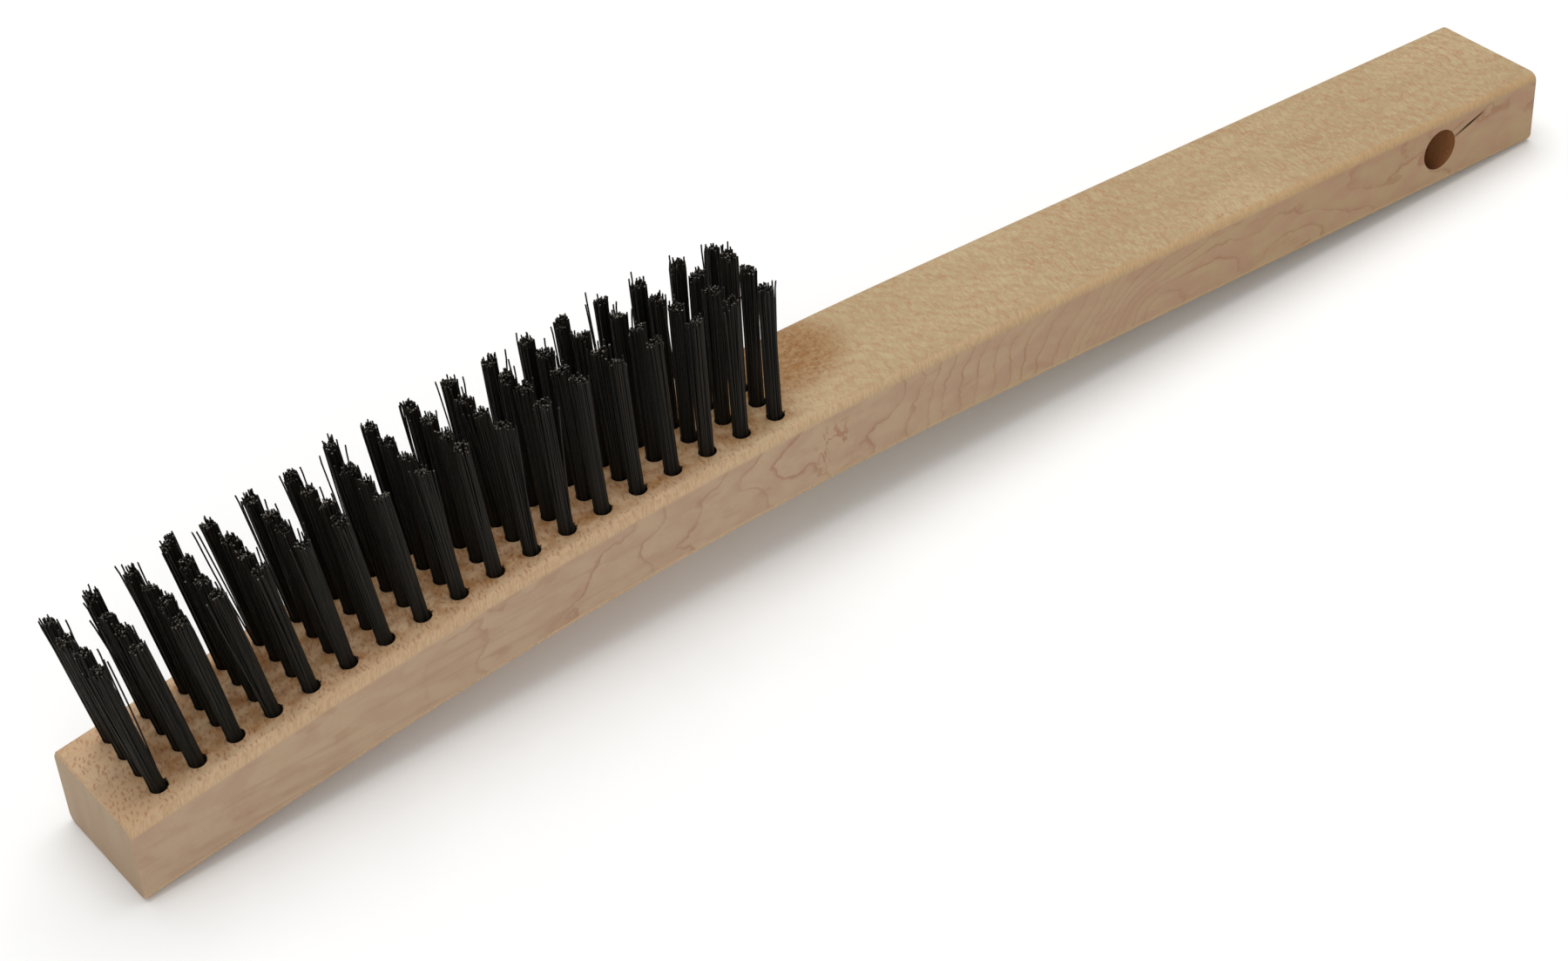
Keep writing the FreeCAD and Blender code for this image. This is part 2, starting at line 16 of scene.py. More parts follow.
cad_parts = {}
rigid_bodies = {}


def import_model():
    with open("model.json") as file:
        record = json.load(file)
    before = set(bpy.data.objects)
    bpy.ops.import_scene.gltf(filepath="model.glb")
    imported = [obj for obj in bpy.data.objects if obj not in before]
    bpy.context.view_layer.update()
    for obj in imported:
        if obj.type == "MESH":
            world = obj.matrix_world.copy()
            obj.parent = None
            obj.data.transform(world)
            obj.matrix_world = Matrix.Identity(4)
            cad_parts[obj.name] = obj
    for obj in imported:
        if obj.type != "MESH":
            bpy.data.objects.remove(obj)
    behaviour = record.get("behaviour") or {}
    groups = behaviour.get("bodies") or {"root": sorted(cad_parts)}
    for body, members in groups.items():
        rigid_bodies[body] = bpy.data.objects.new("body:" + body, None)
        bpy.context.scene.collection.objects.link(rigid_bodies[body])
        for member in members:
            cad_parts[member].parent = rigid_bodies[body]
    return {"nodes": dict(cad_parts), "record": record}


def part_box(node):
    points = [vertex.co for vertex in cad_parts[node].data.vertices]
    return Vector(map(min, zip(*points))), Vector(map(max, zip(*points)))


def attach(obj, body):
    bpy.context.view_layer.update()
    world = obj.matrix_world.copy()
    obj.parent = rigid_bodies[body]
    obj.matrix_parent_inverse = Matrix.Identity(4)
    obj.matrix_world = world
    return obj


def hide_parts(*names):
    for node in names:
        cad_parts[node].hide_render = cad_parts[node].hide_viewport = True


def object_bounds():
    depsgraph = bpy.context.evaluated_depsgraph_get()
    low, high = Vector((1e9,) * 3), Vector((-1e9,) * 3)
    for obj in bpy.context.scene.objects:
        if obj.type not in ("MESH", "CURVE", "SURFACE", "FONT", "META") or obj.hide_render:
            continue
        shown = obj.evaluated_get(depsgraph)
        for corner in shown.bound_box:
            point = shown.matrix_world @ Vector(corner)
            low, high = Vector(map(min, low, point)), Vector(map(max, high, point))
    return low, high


for leftover in list(bpy.data.objects):
    bpy.data.objects.remove(leftover)
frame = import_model()
CAD_BOX = [list(corner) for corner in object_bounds()]

MM = 0.001
ROWS = sorted(name for name in frame["nodes"] if name.startswith("tuft_row_"))
STAPLES = sorted(name for name in frame["nodes"] if name.startswith("staple_row_"))
SEED = 20

# ---------------------------------------------------------------- camera, as the photographer stood

CAMERA_AIM = Vector((-0.01975, 0.00345, 0.0))      # where the middle of the view meets the floor
CAMERA_DISTANCE = 0.68721
CAMERA_AZIMUTH = math.radians(-33.625)
CAMERA_ELEVATION = math.radians(38.352)
CAMERA_ROLL = math.radians(-5.947)
CAMERA_LENS = 79.37
CAMERA_SENSOR = 36.0

# ---------------------------------------------------------------- wires

WIRE_RADIUS = 0.165 * MM
WIRE_SIDES = 8
WIRE_PITCH = 0.345 * MM           # between neighbours where the bundle is tightest
WIRE_CLEARANCE = 1.1              # from a wire's middle to what it passes, in wire radii
MOST_SHEAR = 0.7                  # steepest slope of a sheared wire end
BUNDLE_RADIUS = 1.54 * MM         # of the tuft in its hole
BUNDLE_ROOM = BUNDLE_RADIUS - WIRE_RADIUS
HOLE_RADIUS = 1.8 * MM
FOOT_SHIFT = -0.22 * MM           # the tufts lie against the head side of their holes
BRISTLE_TRIM = 30.0 * MM          # free length above the block's face
TUFT_GAP = 1.5 * MM               # neighbouring tufts of a row are at least this far apart
RIM_DEPTH = 0.02 * MM             # a packed tuft's top rim lies within this of its highest point
FACING_UP = 0.9                   # least upward part of the normal of a packed tuft's top
SHARP_ANGLE = math.radians(50)    # edges that bend more stay sharp, as round a wire's end

CROWN_HEIGHT = 2.2 * MM           # middle of the staple's crown above the bottom of the hole
CROWN_RADIUS = 0.4 * MM
FOLD_HALF_WIDTH = 0.7 * MM        # the fold squeezes between the staple's legs
FOLD_ANGLES = (0.0, 0.5, 1.05)    # points round the staple on each side of the lowest one
SHOULDER_HEIGHT = 2.6 * MM        # above the crown, where the innermost wires are straight again
SHOULDER_RISE = 0.6 * MM          # how much further up the outermost wires are
WIRE_LEVELS = (0.0, 0.09, 0.18, 0.3, 0.43, 0.56, 0.69, 0.82, 0.95, 1.0)    # shoulder to tip

FIRST_ROW_LEAN = math.radians(-2.2)    # the head's tufts splay towards the head end
LAST_ROW_LEAN = math.radians(1.5)
TUFT_LEAN_SPREAD = math.radians(0.6)
TUFT_TRIM_SPREAD = 0.3 * MM
TUFT_CUT_SLOPE_SPREAD = 0.25
LEAST_SPLAY = -0.03               # how much wider than its foot a tuft's tip is
MOST_SPLAY = 0.1

WIRE_PLACE_SPREAD = 0.015 * MM    # how single wires differ from the rest of their tuft
WIRE_TRIM_SPREAD = 0.4 * MM
WIRE_LEAN_SPREAD = 0.07 * MM
WIRE_BOW_SPREAD = 0.07 * MM
TIP_BEND_SPREAD = 0.09 * MM
SWAY_POWER = 1.3                  # a leaning wire bends most near its foot

STRAY_SHARE = 0.08
STRAY_LEAN = (0.5, 1.8)           # least and most, in mm at the tip of an outermost wire
STRAY_LEAN_SPREAD = 0.2           # in mm
STRAY_BOW = (-0.2, 0.3)           # as a share of the lean
STRAY_TRIM = (-0.5, 1.3)          # in mm

# ---------------------------------------------------------------- torn wood round the holes, in mm

FIBRES_PER_HOLE = 14
FIBRES_TO_HANDLE = 0.75           # share of them that stand on the handle side of their hole
FIBRE_SWING = 1.2                 # how far round the rim they stand, in radians either way
FIBRE_ROOT = (0.15, 0.5)          # how far a fibre's root is from the rim, at least and at most
FIBRE_REACH = (0.02, 0.2)         # how far its tip reaches over the hole
FIBRE_SKEW = 0.05                 # spread of its tip across the grain
FIBRE_HALF_WIDTH = (0.05, 0.13)
FIBRE_RIDGE = (0.03, 0.09)        # how high its back stands
FIBRE_LIFT = (0.0, 0.14)          # how high its tip is
FIBRE_SINK = 0.05                 # how far its root goes into the face

MOST_CHIPS_PER_HOLE = 3
CHIP_SWING = (-0.5, 0.9)          # in radians
CHIP_HALF_WIDTH = (0.12, 0.24)
CHIP_REACH = (0.15, 0.5)          # how far its tip leans away from the hole
CHIP_LIFT = (0.2, 0.42)

# ---------------------------------------------------------------- wood, in millimetres

HEAD_END = CAD_BOX[0][0] / MM
TUFTS_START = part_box(ROWS[0])[0].x / MM
TUFTS_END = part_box(ROWS[-1])[1].x / MM
TUFTS_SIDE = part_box(ROWS[0])[1].y / MM
HANG_HOLE = next(mount for mount in frame["record"]["mounts"] if mount["name"] == "hang_hole")
HANG_HOLE_X = HANG_HOLE["pos_m"][0] / MM
HANG_HOLE_HEIGHT = HANG_HOLE["pos_m"][2] / MM
HANG_HOLE_RADIUS = HANG_HOLE["dims"]["r_mm"]

# within these, only the walls of the tuft holes stand steeply
HOLES_START = TUFTS_START - 0.7
HOLES_END = TUFTS_END + 2.4
HOLES_SIDE = TUFTS_SIDE + 0.9

# how far across the block the wires' oil and the painted shade between the tufts reach, from where they thin
# out to where there's none
OIL_AND_SHADE_ENDS_ACROSS = (TUFTS_SIDE - 0.6, TUFTS_SIDE + 2.4)

# stretches along the block over which one look gives way to another
OIL_AND_SHADE_STARTS = (HEAD_END + 2.7, HEAD_END + 14.7)
OIL_AND_SHADE_ENDS = (TUFTS_END - 0.6, TUFTS_END + 6.4)
HEAD_TO_HANDLE = (-60.0, 0.0)     # where the face's colour changes
WARMING = (-60.0, 120.0)          # where the sides and edges grow warmer
FLECKS_TO_LACE = (-60.0, 20.0)    # where the flecks of the head give way to the handle's lace
STREAKS_END = (-90.0, -30.0)      # where the head's soft streaks fade out
RINGS_APPEAR = (-125.0, -80.0)    # where the growth rings grow plainer
RINGS_AT_HEAD = 0.12              # how strong they are at the head, as a share

RINGS_PER_MM = 0.08               # along the block, from the first to the last of these places
RINGS_STRETCH = (-105.0, 90.0)
CLOSE_RINGS_PER_MM = 0.09         # and this many more between these
CLOSE_RINGS_STRETCH = (-8.0, 80.0)
RINGS_PER_MM_ACROSS = 0.24
RINGS_PER_MM_UP = -0.035
RINGS_PER_MM_UP_AT_HEAD = 0.21    # added to it at the head, and fading out over this stretch
LEAN_STRETCH = (-135.0, -75.0)
WIDE_WAVE_RINGS = 5.0             # how far the two waves push the rings
SMALL_WAVE_RINGS = 1.6
HUMP_X = 62.0                     # the growth rings close in loops round this place
HUMP_HEIGHT = 10.0
HUMP_HALF_LENGTH = 17.0
HUMP_HALF_HEIGHT = 9.0
HUMP_RINGS = 7.0                  # how many rings the hump adds

BRANCH_MARK = (TUFTS_END + 7.4, 18.5)      # its middle, along the block and up
BRANCH_MARK_SIZE = (6.0, 7.0)
SCORCH = (TUFTS_END + 8.4, 6.0)            # its middle, along the block and across it
SCORCH_SIZE = (19.0, 15.0)
HANG_HOLE_SHADE_FADES = (-4.0, 4.5)                   # along the block, from the hanging hole's middle; over this the hole's wall goes from painted shade to painted light
CRACK_SLOPE = math.radians(16.2)           # of the drying crack, as the brush lies
CRACK = (HANG_HOLE_X + 9.2, HANG_HOLE_HEIGHT + 2.7)    # its middle, along the block and up
CRACK_SIZE = (5.5, 2.6)                    # of the oval that it lies in
CRACK_BOTTOM = -10.0                       # across the block; the crack isn't deeper than this
# dark lines of painted shade along the drying crack: the open crack's, and a closed one's beside it
OPEN_CRACK_SHADE = {"offset": 0.0, "start": 4.4, "end": 14.6, "half_width": 0.55, "amount": 0.75}
CLOSED_CRACK_SHADE = {"offset": 1.9, "start": 2.6, "end": 9.0, "half_width": 0.35, "amount": 0.35}

# ---------------------------------------------------------------- stage and lights

FLOOR_HALF_WIDTH = 3.0
FLOOR_DROP = 0.02 * MM            # keeps the floor out of the plane of the edges that rest on it
SURROUND_STRENGTH = 0.55


# ---------------------------------------------------------------- node materials

class NodeMaterial:
    """A new material with its principled shader, and short ways to add nodes to it."""

    def __init__(self, name):
        self.material = bpy.data.materials.new(name)
        self.material.use_nodes = True
        self.tree = self.material.node_tree
        self.shader = self.tree.nodes["Principled BSDF"]
        self.place = self.node("ShaderNodeTexCoord").outputs["Object"]

    def node(self, kind, inputs=None, **settings):
        """Add a node; inputs may be plain values or other nodes' sockets."""
        made = self.tree.nodes.new(kind)
        for key, value in settings.items():
            setattr(made, key, value)
        for key, value in (inputs or {}).items():
            if isinstance(value, bpy.types.NodeSocket):
                self.tree.links.new(value, made.inputs[key])
            else:
                made.inputs[key].default_value = value
        return made

    def math_node(self, operation, first, second=0.0):
        """A Math node's result."""
        return self.node("ShaderNodeMath", {0: first, 1: second}, operation=operation).outputs[0]

    def vector_node(self, operation, first, second):
        """A Vector Math node's resulting vector."""
        return self.node("ShaderNodeVectorMath", {0: first, 1: second}, operation=operation).outputs[0]

    def total(self, *values):
        """All values added up."""
        result = values[0]
        for value in values[1:]:
            result = self.math_node("ADD", result, value)
        return result

    def product(self, *values):
        """All values multiplied."""
        result = values[0]
        for value in values[1:]:
            result = self.math_node("MULTIPLY", result, value)
        return result

    def squares(self, first, second):
        """The squares of two values, added up."""
        return self.total(self.product(first, first), self.product(second, second))

    def minus(self, value, taken):
        """One value less another."""
        return self.math_node("SUBTRACT", value, taken)

    def absolute(self, value):
        """The value without its sign."""
        return self.math_node("ABSOLUTE", value)

    def between(self, value, low, high):
        """The value kept between two limits."""
        return self.math_node("MINIMUM", self.math_node("MAXIMUM", value, low), high)

    def rise(self, value, low, high):
        """0 below low, 1 above high, and smooth between."""
        inputs = {0: value, 1: low, 2: high}
        return self.node("ShaderNodeMapRange", inputs, interpolation_type="SMOOTHSTEP").outputs[0]

    def fall(self, value, low, high):
        """1 below low, 0 above high, and smooth between."""
        return self.minus(1.0, self.rise(value, low, high))

    def stretched(self, vector, scale, turn=(0.0, 0.0, 0.0)):
        """The vector turned and scaled differently along its axes."""
        inputs = {"Vector": vector, "Rotation": turn, "Scale": scale}
        return self.node("ShaderNodeMapping", inputs).outputs[0]

    def noise_node(self, vector, detail=2.0, roughness=0.5, distortion=0.0):
        """A noise texture at a scale of 1."""
        inputs = {"Vector": vector, "Scale": 1.0, "Detail": detail,
                  "Roughness": roughness, "Distortion": distortion}
        return self.node("ShaderNodeTexNoise", inputs)

    def noise(self, vector, scale, detail=2.0, roughness=0.5, distortion=0.0, turn=(0.0, 0.0, 0.0)):
        """Noise drawn out along the axes where the scale is small."""
        placed = self.stretched(vector, scale, turn)
        return self.noise_node(placed, detail, roughness, distortion).outputs[0]

    def mix(self, amount, first, second, blend="MIX"):
        """Two colours mixed; each may be a plain colour or a socket."""
        inputs = {0: amount, 6: first, 7: second}
        return self.node("ShaderNodeMix", inputs, data_type="RGBA", blend_type=blend).outputs[2]

    def finish(self, colour, rough_from, roughness, relief=None, strength=0.0, distance=0.0):
        """Link the shader's colour, a roughness between two limits, and the bump."""
        self.tree.links.new(colour, self.shader.inputs["Base Color"])
        least, most = roughness
        rough = self.node("ShaderNodeMapRange", {0: rough_from, 3: least, 4: most}).outputs[0]
        self.tree.links.new(rough, self.shader.inputs["Roughness"])
        if relief is not None:
            bump = self.node("ShaderNodeBump", {"Strength": strength, "Distance": distance, "Height": relief})
            self.tree.links.new(bump.outputs[0], self.shader.inputs["Normal"])
        return self.material


def srgb(red, green, blue):
    """A colour given as on a screen, 0 to 255, in the linear values that shaders take."""
    def linear(channel):
        share = channel / 255
        return share / 12.92 if share <= 0.04045 else ((share + 0.055) / 1.055) ** 2.4
    return linear(red), linear(green), linear(blue), 1.0


# ---------------------------------------------------------------- wood of the block

def block_surface(wood):
    """Where a point of the block lies, in mm, and masks for the kinds of surface that it may be on."""
    place = wood.stretched(wood.place, (1 / MM, 1 / MM, 1 / MM))
    along, across, height = wood.node("ShaderNodeSeparateXYZ", {0: place}).outputs
    outward = wood.node("ShaderNodeNewGeometry").outputs["Normal"]
    _, to_side, to_top = wood.node("ShaderNodeSeparateXYZ", {0: outward}).outputs
    upright = wood.absolute(to_top)
    sideways = wood.absolute(to_side)
    off_side = wood.rise(upright, 0.04, 0.35)
    return SimpleNamespace(
        place=place, along=along, across=across, height=height,
        upright=upright, sideways=sideways,
        on_front=wood.fall(to_side, -0.9, -0.5),
        flat_on_front=wood.fall(to_side, -0.97, -0.8),
        on_face=wood.rise(upright, 0.5, 0.97),              # or on the back
        on_top=wood.rise(to_top, 0.5, 0.97),                # on the face alone
        off_side=off_side,
        on_side=wood.minus(1.0, off_side),                  # either side, and the ends
        on_edge=wood.product(off_side, wood.fall(upright, 0.8, 0.985)),
        on_end=wood.fall(wood.math_node("MAXIMUM", upright, sideways), 0.3, 0.6),
        warmth=wood.rise(along, *WARMING),
    )


def across_board(wood, at, turn, width, length, detail):
    """Noise drawn out into short dashes that lie across the board, turned a little."""
    turned = wood.stretched(at.place, (1.0, 1.0, 1.0), (0.0, 0.0, turn))
    return wood.noise(turned, (1 / width, 1 / length, 0.5), detail, 0.55)


def round_spot(wood, along, other, centre, size):
    """1 at a centre, falling smoothly to 0 at an oval's rim."""
    first = wood.product(wood.minus(along, centre[0]), 1 / size[0])
    second = wood.product(wood.minus(other, centre[1]), 1 / size[1])
    return wood.fall(wood.squares(first, second), 0.1, 1.0)


def plain_wood(wood, at):
    """The wood's own colour, with slow changes of tone along the board."""
    tone = wood.rise(wood.noise(at.place, (0.02, 0.07, 0.07), 3.0, 0.55), 0.35, 0.65)
    head = wood.mix(tone, srgb(190, 157, 121), srgb(200, 170, 135))
    handle = wood.mix(tone, srgb(165, 145, 110), srgb(176, 157, 121))
    face = wood.mix(wood.rise(at.along, *HEAD_TO_HANDLE), head, handle)
    mottle = wood.rise(wood.noise(at.place, (0.12, 0.2, 0.25)), 0.35, 0.65)
    cool_side = wood.mix(mottle, srgb(168, 140, 116), srgb(173, 148, 122))
    warm_side = wood.mix(mottle, srgb(163, 130, 103), srgb(165, 139, 106))
    return wood.mix(at.off_side, wood.mix(at.warmth, cool_side, warm_side), face)


def growth_rings(wood, at):
    """How far between one growth ring and the next a point lies, from 0 to 1.

    The rings stand almost parallel to the sides, so their waves come out there as contour
    lines. They cross the sides steeply along the middle, run with the grain at the head,
    and close in loops round one hump on the handle.
    """
    wide_wave = wood.noise(at.place, (0.03, 0.02, 0.06), 1.0)
    small_wave = wood.noise(at.place, (0.1, 0.06, 0.16), 3.0, 0.55)
    at_head = wood.fall(at.along, *LEAN_STRETCH)
    per_mm_up = wood.total(RINGS_PER_MM_UP, wood.product(at_head, RINGS_PER_MM_UP_AT_HEAD))

    beside_hump = wood.product(wood.minus(at.along, HUMP_X), 1 / HUMP_HALF_LENGTH)
    above_hump = wood.product(wood.minus(at.height, HUMP_HEIGHT), 1 / HUMP_HALF_HEIGHT)
    from_hump = wood.total(1.0, wood.squares(beside_hump, above_hump))

    rings = wood.total(
        wood.product(wood.between(at.along, *RINGS_STRETCH), RINGS_PER_MM),
        wood.product(wood.between(at.along, *CLOSE_RINGS_STRETCH), CLOSE_RINGS_PER_MM),
        wood.product(at.across, RINGS_PER_MM_ACROSS),
        wood.product(at.height, per_mm_up),
        wood.product(wide_wave, WIDE_WAVE_RINGS),
        wood.product(small_wave, SMALL_WAVE_RINGS),
        wood.math_node("DIVIDE", HUMP_RINGS, from_hump))
    return wood.math_node("FRACT", rings)


def add_rings(wood, at, colour):
    """Lay the growth rings over a colour: a slow darkening up to a thin reddish line."""
    share = growth_rings(wood, at)
    off_head = wood.product(wood.rise(at.along, *RINGS_APPEAR), 1 - RINGS_AT_HEAD)
    strength = wood.total(RINGS_AT_HEAD, off_head)
    tone = wood.product(wood.rise(share, 0.3, 1.0), strength)
    line = wood.minus(wood.rise(share, 0.8, 0.95), wood.rise(share, 0.95, 1.0))
    patches = wood.rise(wood.noise(at.place, (0.06, 0.06, 0.12)), 0.35, 0.62)
    fade = wood.total(0.35, wood.product(patches, 0.65))
    line = wood.product(line, fade, strength)
    colour = wood.mix(wood.product(tone, at.on_side, 0.12), colour, srgb(148, 112, 88))
    colour = wood.mix(wood.product(line, at.on_side, 0.55), colour, srgb(142, 98, 72))
    return wood.mix(wood.product(tone, at.on_face, 0.2), colour, srgb(154, 118, 86))


def add_head_streaks(wood, at, colour):
    """Soft streaks along the grain at the head."""
    streak = wood.noise(at.place, (0.03, 0.3, 0.6), 3.0, 0.6, turn=(0.0, -0.12, 0.0))
    amount = wood.product(wood.rise(streak, 0.5, 0.7), wood.fall(at.along, *STREAKS_END), 0.3)
    return wood.mix(amount, colour, srgb(146, 114, 90))


def add_branch_mark(wood, at, colour):
    """A brown branching mark on the front side, below the last rows."""
    branches = wood.noise(at.place, (0.2, 0.1, 0.09), 3.0, 0.6, 0.5, turn=(0.0, 0.5, 0.0))
    line = wood.fall(wood.absolute(wood.minus(branches, 0.5)), 0.008, 0.035)
    near_mark = round_spot(wood, at.along, at.height, BRANCH_MARK, BRANCH_MARK_SIZE)
    return wood.mix(wood.product(line, near_mark, at.on_front, 0.55), colour, srgb(140, 88, 60))


def add_stains(wood, at, colour):
    """Pale brown stains that follow the grain."""
    stain = wood.noise(at.place, (0.09, 0.2, 0.3), 3.0, 0.6, turn=(0.0, 0.25, 0.0))
    return wood.mix(wood.product(wood.rise(stain, 0.58, 0.72), 0.32), colour, srgb(146, 104, 76))


def dash_grid(wood, at, pitch, half_size, weakest):
    """Short dashes in rough rows, each with a strength of its own: the ends of the wood's rays."""
    swayed = wood.noise_node(wood.stretched(at.place, (0.4, 0.4, 0.4))).outputs["Color"]
    wobble = wood.stretched(swayed, (2.2, 2.2, 0.0))
    turned = wood.stretched(at.place, (1 / pitch[0], 1 / pitch[1], 0.0), (0.0, 0.0, 0.55))
    moved = wood.vector_node("ADD", turned, wobble)
    cells = wood.node("ShaderNodeTexVoronoi", {"Vector": moved, "Scale": 1.0, "Randomness": 0.9},
                      voronoi_dimensions="2D")
    offset = wood.vector_node("SUBTRACT", moved, cells.outputs["Position"])
    scaled = wood.stretched(offset, (1 / half_size[0], 1 / half_size[1], 0.0))
    distance = wood.node("ShaderNodeVectorMath", {0: scaled}, operation="LENGTH").outputs["Value"]
    own = wood.node("ShaderNodeSeparateColor", {0: cells.outputs["Color"]}).outputs[0]
    rim = wood.total(0.7, wood.product(own, 0.5))
    spot = wood.fall(wood.math_node("DIVIDE", distance, rim), 0.35, 1.15)
    return wood.product(spot, wood.rise(own, weakest, 1.0))


def cross_waves(wood, at):
    """Bands that cross the board in arcs, 2 or 3 mm apart, strongest along their middles."""
    sway = wood.noise(at.place, (0.05, 0.09, 0.05))
    bands = wood.total(wood.product(at.along, 0.3), wood.product(at.across, 0.12), wood.product(sway, 6.0))
    to_middle = wood.math_node("PINGPONG", bands, 0.5)
    patches = wood.rise(wood.noise(at.place, (0.07, 0.1, 0.07)), 0.4, 0.6)
    here = wood.total(0.3, wood.product(patches, 0.7))
    return wood.product(wood.rise(to_middle, 0.2, 0.46), here)


def add_flecks(wood, at, colour):
    """Ray flecks on the face and back: reddish dashes at the head, lace in waves on the handle.

    The flecks' own strength is returned too, for the scorch's specks and for the relief.
    """
    at_head = wood.fall(at.along, *FLECKS_TO_LACE)
    dashes = dash_grid(wood, at, (0.95, 1.5), (0.25, 0.48), -0.5)
    colour = wood.mix(wood.product(dashes, at_head, at.on_face, 0.62), colour, srgb(152, 102, 72))

    on_handle = wood.product(wood.minus(1.0, at_head), at.on_face)
    lace = across_board(wood, at, 0.3, 0.42, 1.5, 3.0)
    broad_lace = across_board(wood, at, -0.5, 0.9, 2.6, 2.0)
    cream = across_board(wood, at, 0.1, 0.7, 2.0, 2.0)
    waves = wood.product(cross_waves(wood, at), on_handle, wood.rise(lace, 0.3, 0.6), 0.6)
    marks = dash_grid(wood, at, (4.2, 3.4), (0.17, 0.2), 0.5)
    fine_amount = wood.product(wood.rise(lace, 0.4, 0.62), on_handle, 0.35)
    colour = wood.mix(fine_amount, colour, srgb(158, 122, 89))
    broad_amount = wood.product(wood.rise(broad_lace, 0.48, 0.66), on_handle, 0.4)
    colour = wood.mix(broad_amount, colour, srgb(160, 122, 89))
    colour = wood.mix(waves, colour, srgb(156, 118, 84))
    cream_amount = wood.product(wood.rise(cream, 0.5, 0.68), on_handle, 0.45)
    colour = wood.mix(cream_amount, colour, srgb(182, 164, 128))
    colour = wood.mix(wood.product(marks, on_handle, 0.5), colour, srgb(156, 108, 72))
    return colour, wood.total(wood.product(lace, 0.7), dashes)


def add_rubbed_edges(wood, at, colour):
    """Rounded edges, rubbed and a little yellower, with cut fibres showing as fine slanted lines."""
    cut_fibres = across_board(wood, at, 0.6, 0.24, 1.5, 3.0)
    pale = wood.mix(at.warmth, srgb(186, 159, 126), srgb(182, 149, 108))
    dull = wood.mix(at.warmth, srgb(162, 131, 98), srgb(166, 130, 90))
    edge = wood.mix(wood.rise(cut_fibres, 0.35, 0.7), pale, dull)
    return wood.mix(wood.product(at.on_edge, 0.7), colour, edge)


def add_oil_and_shade(wood, at, colour):
    """Painted shade between the rows of tufts, in mottled patches like the wires' oil soaked into the face.
    """
    under_wires = wood.product(
        wood.fall(wood.absolute(at.across), *OIL_AND_SHADE_ENDS_ACROSS),
        wood.rise(at.along, *OIL_AND_SHADE_STARTS),
        wood.fall(at.along, *OIL_AND_SHADE_ENDS),
        at.on_top)
    patches = wood.rise(wood.noise(at.place, (0.3, 0.3, 0.3), 3.0, 0.6), 0.25, 0.75)
    # painted shade of the tufts, with the wires' oil: the face darkened in patches between the rows
    oiled_and_shaded = wood.mix(1.0, colour, (0.6, 0.42, 0.23, 1.0), "MULTIPLY")
    return wood.mix(wood.product(under_wires, patches), colour, oiled_and_shaded)


def add_scorch(wood, at, colour, flecks):
    """A scorched smear past the last row of tufts, where the tufting tool rubbed."""
    smear = round_spot(wood, at.along, at.across, SCORCH, SCORCH_SIZE)
    broken = wood.rise(wood.noise(at.place, (0.7, 1.1, 0.6), 5.0, 0.75), 0.35, 0.62)
    smear = wood.product(smear, wood.total(0.45, wood.product(broken, 0.55)), at.on_top)
    colour = wood.mix(wood.product(smear, 0.95), colour, srgb(138, 95, 50))
    return wood.mix(wood.product(smear, flecks, 0.35), colour, srgb(104, 64, 34))


def add_sawn_ends(wood, at, colour):
    """The sawn ends: greyer, in soft bands, with open pores."""
    bands = wood.rise(wood.noise(at.place, (0.1, 0.25, 0.04), 1.0), 0.3, 0.7)
    pores = wood.rise(wood.noise(at.place, (3.0, 3.0, 3.0), 3.0, 0.6), 0.5, 0.7)
    end = wood.mix(bands, srgb(171, 149, 124), srgb(167, 142, 115))
    end = wood.mix(wood.product(pores, 0.2), end, srgb(132, 106, 82))
    return wood.mix(at.on_end, colour, end)


def crack_line(wood, beside, above, stain):
    """1 along a thin line parallel to the drying crack, given by its distances from the hanging hole: where
    painted shade goes along the crack.
    """
    cosine = math.cos(CRACK_SLOPE)
    sine = math.sin(CRACK_SLOPE)
    out = wood.total(wood.product(beside, cosine), wood.product(above, sine))
    up = wood.minus(wood.product(above, cosine), wood.product(beside, sine))
    aside = wood.absolute(wood.minus(up, stain["offset"]))
    return wood.product(wood.fall(aside, 0.3 * stain["half_width"], stain["half_width"]),
                        wood.rise(out, stain["start"], stain["start"] + 0.5),
                        wood.fall(out, stain["end"] - 2.0, stain["end"]))


